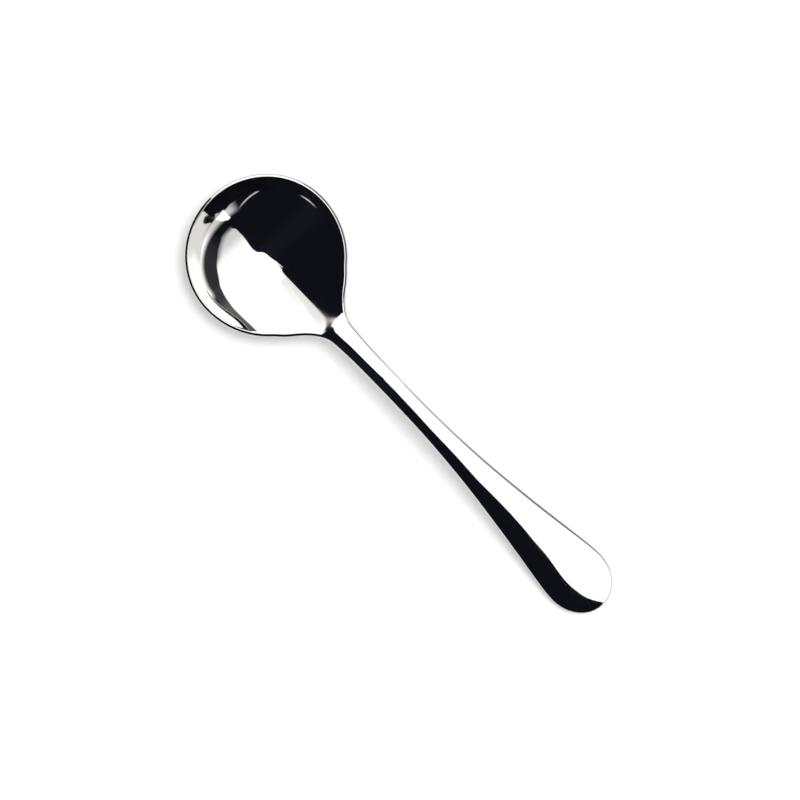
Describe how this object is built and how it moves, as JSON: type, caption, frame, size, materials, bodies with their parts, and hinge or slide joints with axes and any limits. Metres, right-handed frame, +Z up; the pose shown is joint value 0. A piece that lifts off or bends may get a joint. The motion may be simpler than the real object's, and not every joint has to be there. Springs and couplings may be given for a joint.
{
  "type": "soup spoon",
  "caption": "Round-bowl soup spoon in polished stainless steel with a slim arched stem that widens to a plain rounded handle end.",
  "frame": {"origin": "middle of the spoon's length and width, on the table that it rests on", "axes": "+X from the bowl's tip to the handle's end, +Z up out of the open bowl, +Y across the bowl"},
  "size_m": [0.165, 0.0472, 0.0184],
  "materials": {
    "polished_stainless_steel": "mirror-polished 18/10 stainless steel"
  },
  "bodies": {
    "root": {"bowl": "polished_stainless_steel", "handle": "polished_stainless_steel"}
  },
  "joints": []
}
